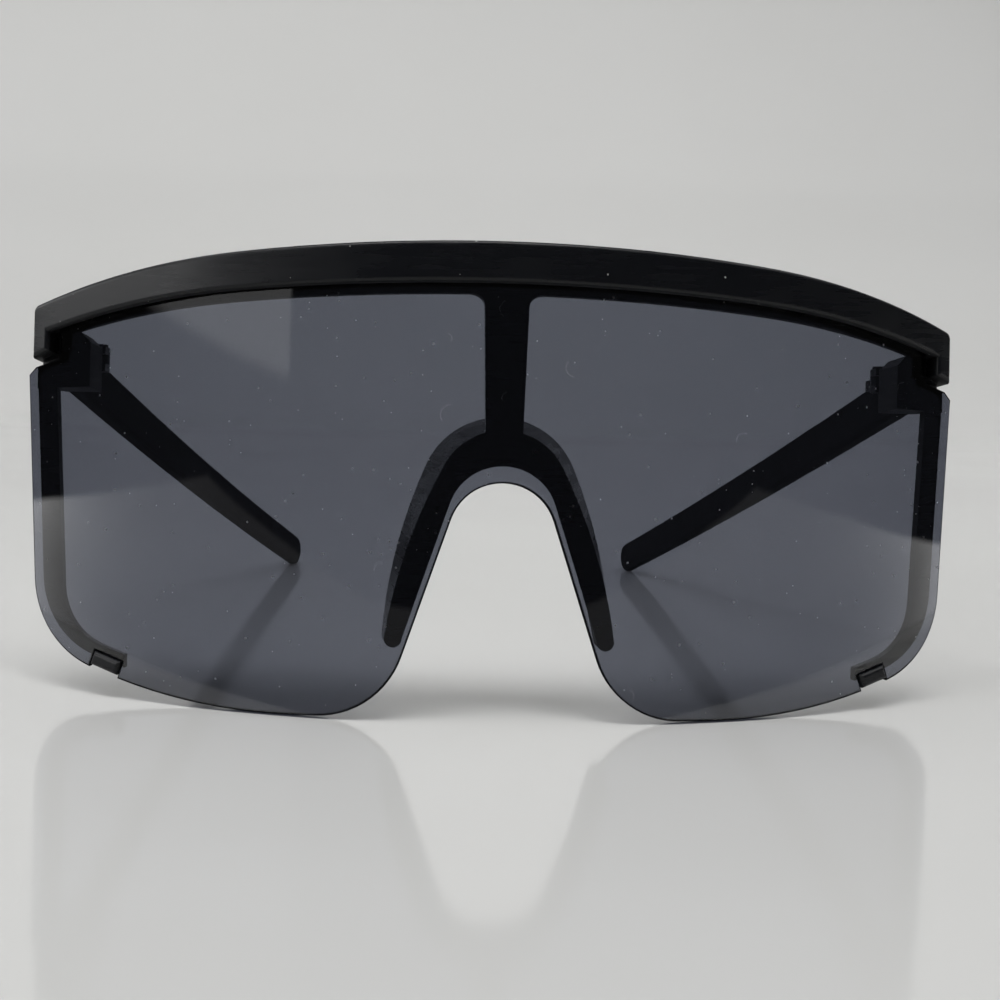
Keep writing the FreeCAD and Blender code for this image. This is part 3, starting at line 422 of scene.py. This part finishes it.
material, tree, shader = new_material("table_sheet")
mottle = noise(tree, object_place(tree), SHEET_MOTTLE, 3.0)
sheet_colour = blended(tree, mottle, SHEET_WHITE, SHEET_PALER)
feed(tree, shader.inputs["Base Color"], sheet_colour)
feed(tree, shader.inputs["Roughness"], ramp(tree, mottle, 0.3, 0.7, *SHEET_ROUGHNESS))
matt = new_node(tree, "BsdfDiffuse")
feed(tree, matt.inputs["Color"], sheet_colour)
pale = new_node(tree, "Emission", Color=BACKGROUND)
clear = new_node(tree, "BsdfTransparent")
rays = new_node(tree, "LightPath").outputs
mirrored = maths(
    tree, "SUBTRACT", rays["Is Glossy Ray"], rays["Is Transmission Ray"], clamp=True
)
straight = maths(tree, "MAXIMUM", *straight_rays(rays))
spot = axes_of(tree, object_place(tree))
ahead = ramp(tree, spot["Y"], *FADE_AHEAD, 1.0, 0.0)
aside = ramp(tree, maths(tree, "ABSOLUTE", spot["X"]), *FADE_ASIDE)
far_off = maths(tree, "MAXIMUM", ahead, aside)
distance = vectors(tree, "LENGTH", object_place(tree), output="Value")
beyond = ramp(tree, distance, *MIRRORED_REACH)
beyond = product(tree, mirrored, beyond, ramp(tree, spot["Y"], *MIRRORED_BACK))
matt_share = maths(tree, "MAXIMUM", mirrored, far_off)
surface = layered(tree, matt_share, shader.outputs["BSDF"], matt.outputs["BSDF"])
surface = layered(tree, product(tree, far_off, straight), surface, pale.outputs["Emission"])
surface = layered(tree, beyond, surface, clear.outputs["BSDF"])
feed(tree, tree.nodes["Material Output"].inputs["Surface"], surface)
material.cycles.emission_sampling = "NONE"
sweep.data.materials.append(material)

# Room light: a dim room ahead, a lit ceiling, a window to the left and the white table top, which
# the lens mirrors up to a line that climbs towards the table's corners. Bearings are from straight
# ahead, rises from level, both in degrees.
ROOM_DIM = 0.02
ROOM_BEHIND = 0.35
BEHIND_BEARING = (95, 130)
TABLE_NEAR_LEVEL = 0.16
TABLE_SIDE_LEVEL = 2.75
TABLE_SIDE_POWER = 6.0
TABLE_MIDDLE = 3
TABLE_SPREAD = (19, 85)
TABLE_FADE = 0.7
TABLE_FADE_RISE = (0, 2.5)
TABLE_CORNER = (18, 48, 90)
TABLE_EDGE_RISE = (4.1, 6.3, 0.6)
TABLE_EDGE_BLUR = 0.15
TABLE_TILT = 0.7
TABLE_TILT_BEARING = (45, 90)
CEILING_LEVEL = 0.35
CEILING_RISE = (44, 62)
WINDOW_LEVEL = 0.7
WINDOW_BEARINGS = ((-33.5, -34.5), (-115, -95))
WINDOW_RISES = ((10.4, 11.2), (50, 40))
PANE_LEVEL = 0.6
PANE_BEARING = (-48, -60)
PANE_RISES = ((11, 15), (30, 24))
DEGREE = math.pi / 180


def turn_ramp(tree, angle, limits, low=0.0, high=1.0):
    """A smooth step over an angle between two limits in degrees."""
    start, end = limits
    return ramp(tree, angle, start * DEGREE, end * DEGREE, low, high)


def slope(tree, angle, start, end, low=0.0, high=1.0):
    """A straight slope over an angle between two limits in degrees."""
    made = new_node(tree, "MapRange", To_Min=low, To_Max=high)
    feed(tree, made.inputs["Value"], angle)
    made.inputs["From Min"].default_value = start * DEGREE
    made.inputs["From Max"].default_value = end * DEGREE
    return made.outputs["Result"]


world = bpy.data.worlds.new("studio_room")
scene.world = world
world.use_nodes = True
tree = world.node_tree
heading = axes_of(tree, new_node(tree, "TexCoord").outputs["Generated"])
azimuth = maths(tree, "ARCTAN2", heading["X"], product(tree, heading["Y"], -1.0))
elevation = maths(tree, "ARCSINE", heading["Z"])
aside = maths(tree, "ABSOLUTE", azimuth)

# The table top, brighter towards its sides, up to its far edge
near_turn, corner_turn, side_turn = TABLE_CORNER
near_rise, corner_rise, side_rise = (rise * DEGREE for rise in TABLE_EDGE_RISE)
rising = slope(tree, aside, near_turn, corner_turn, near_rise, corner_rise)
falling = slope(tree, aside, corner_turn, side_turn, corner_rise, side_rise)
table_edge = maths(tree, "MINIMUM", rising, falling)
tilt = turn_ramp(tree, azimuth, TABLE_TILT_BEARING, 0.0, TABLE_TILT * DEGREE)
above_edge = maths(tree, "SUBTRACT", elevation, maths(tree, "SUBTRACT", table_edge, tilt))
off_middle = maths(tree, "ABSOLUTE", maths(tree, "SUBTRACT", azimuth, TABLE_MIDDLE * DEGREE))
table = maths(tree, "POWER", slope(tree, off_middle, *TABLE_SPREAD), TABLE_SIDE_POWER)
table_gain = TABLE_SIDE_LEVEL - TABLE_NEAR_LEVEL
table = maths(tree, "MULTIPLY_ADD", table, table_gain, TABLE_NEAR_LEVEL)
below_edge = turn_ramp(tree, above_edge, (TABLE_EDGE_BLUR, -TABLE_EDGE_BLUR))
low_down = turn_ramp(tree, elevation, TABLE_FADE_RISE, TABLE_FADE, 1.0)
table = product(tree, table, below_edge, low_down)

# The window with its brighter pane, the ceiling and the room behind
pane = product(
    tree, PANE_LEVEL, turn_ramp(tree, azimuth, PANE_BEARING),
    *(turn_ramp(tree, elevation, limits) for limits in PANE_RISES),
)
window = product(
    tree, maths(tree, "ADD", pane, WINDOW_LEVEL),
    *(turn_ramp(tree, azimuth, limits) for limits in WINDOW_BEARINGS),
    *(turn_ramp(tree, elevation, limits) for limits in WINDOW_RISES),
)
ceiling = turn_ramp(tree, elevation, CEILING_RISE, 0.0, CEILING_LEVEL)
behind = turn_ramp(tree, aside, BEHIND_BEARING, 0.0, ROOM_BEHIND)
level = maths(tree, "MAXIMUM", table, window)
level = maths(tree, "MAXIMUM", level, maths(tree, "MAXIMUM", ceiling, behind))
level = maths(tree, "ADD", level, ROOM_DIM)
straight = maths(tree, "MAXIMUM", *straight_rays(new_node(tree, "LightPath").outputs))
sky = blended(tree, straight, level, BACKGROUND)
feed(tree, tree.nodes["Background"].inputs["Color"], sky)

# Key light: a soft ceiling panel above the front of the glasses. It throws the lens's shadow back
# on the table.
PANEL_PLACE = (-0.05, -0.24, 0.80)
PANEL_TARGET = (0.0, -0.06, 0.03)
PANEL_SIZE = (0.6, 0.24)
PANEL_POWER = 3.25
ALL_ROUND = 180


def soft_panel(name, place, target, size, power, spread):
    """A flat soft lamp that faces a target."""
    bpy.ops.object.light_add(type="AREA", location=place)
    panel = bpy.context.active_object
    panel.name = name
    panel.data.shape = "RECTANGLE"
    panel.data.size, panel.data.size_y = size
    panel.data.energy = power
    panel.data.spread = spread * DEGREE
    aim = Vector(target) - Vector(place)
    panel.rotation_euler = aim.to_track_quat("-Z", "Y").to_euler()
    return panel


soft_panel("ceiling_panel", PANEL_PLACE, PANEL_TARGET, PANEL_SIZE, PANEL_POWER, ALL_ROUND)

# Backdrop wash: a long narrow lamp above the sheet's bend. It keeps the backdrop as pale as the
# table.
WASH_PLACE = (-0.2, 0.3, 1.1)
WASH_TARGET = (-0.05, 1.0, 0.15)
WASH_SIZE = (2.0, 0.2)
WASH_POWER = 3.0
WASH_SPREAD = 95
soft_panel("backdrop_wash", WASH_PLACE, WASH_TARGET, WASH_SIZE, WASH_POWER, WASH_SPREAD)

# Side lamps: a broad lamp over the table on each side, out of the picture. They light the table
# where the lens mirrors it.
SIDE_LAMP_REACH = 0.75
SIDE_LAMP_BACK = -0.10
SIDE_LAMP_HEIGHT = 0.7
SIDE_LAMP_SIZE = (0.8, 0.8)
SIDE_LAMP_POWER = 2.1
SIDE_LAMP_SPREAD = 100
for name, reach in (("left_table_lamp", -SIDE_LAMP_REACH), ("right_table_lamp", SIDE_LAMP_REACH)):
    over = (reach, SIDE_LAMP_BACK, SIDE_LAMP_HEIGHT)
    under = (reach, SIDE_LAMP_BACK + MM, 0.0)
    soft_panel(name, over, under, SIDE_LAMP_SIZE, SIDE_LAMP_POWER, SIDE_LAMP_SPREAD)

# Window glow: the window's bright pane as the frame and the temples catch it. It lights only these
# pieces, so that the table under it stays even.
PANE_PLACE = (-1.48, -0.26, 0.55)
PANE_TARGET = (0.0, 0.0, 0.0)
PANE_SIZE = (1.75, 0.55)
PANE_POWER = 9.8
pane_lamp = soft_panel(
    "window_glow", PANE_PLACE, PANE_TARGET, PANE_SIZE, PANE_POWER, ALL_ROUND
)
pane_lamp.visible_camera = False
pane_lamp.visible_transmission = False
nylon_pieces = bpy.data.collections.new("nylon_pieces")
for name in ("front_frame", "left_temple", "right_temple"):
    nylon_pieces.objects.link(frame["nodes"][name])
pane_lamp.light_linking.receiver_collection = nylon_pieces

# Camera: close in front of the glasses, a little to one side and level with the brow. Its turn, dip
# and roll are in degrees.
CAMERA_PLACE = (-0.014966, -0.32687, 0.057844)
CAMERA_TURN = 3.35
CAMERA_DIP = 5.805
CAMERA_ROLL = 1.697
CAMERA_LENS = 61.2
CAMERA_SENSOR = 36.0
CAMERA_NEAREST = 10 * MM
camera_data = bpy.data.cameras.new("camera")
camera_data.sensor_width = CAMERA_SENSOR
camera_data.lens = CAMERA_LENS
camera_data.clip_start = CAMERA_NEAREST
camera = bpy.data.objects.new("camera", camera_data)
scene.collection.objects.link(camera)
turn = Matrix.Rotation(-CAMERA_TURN * DEGREE, 4, "Z")
dip = Matrix.Rotation((90 - CAMERA_DIP) * DEGREE, 4, "X")
roll = Matrix.Rotation(CAMERA_ROLL * DEGREE, 4, "Z")
camera.matrix_world = Matrix.Translation(CAMERA_PLACE) @ turn @ dip @ roll
scene.camera = camera
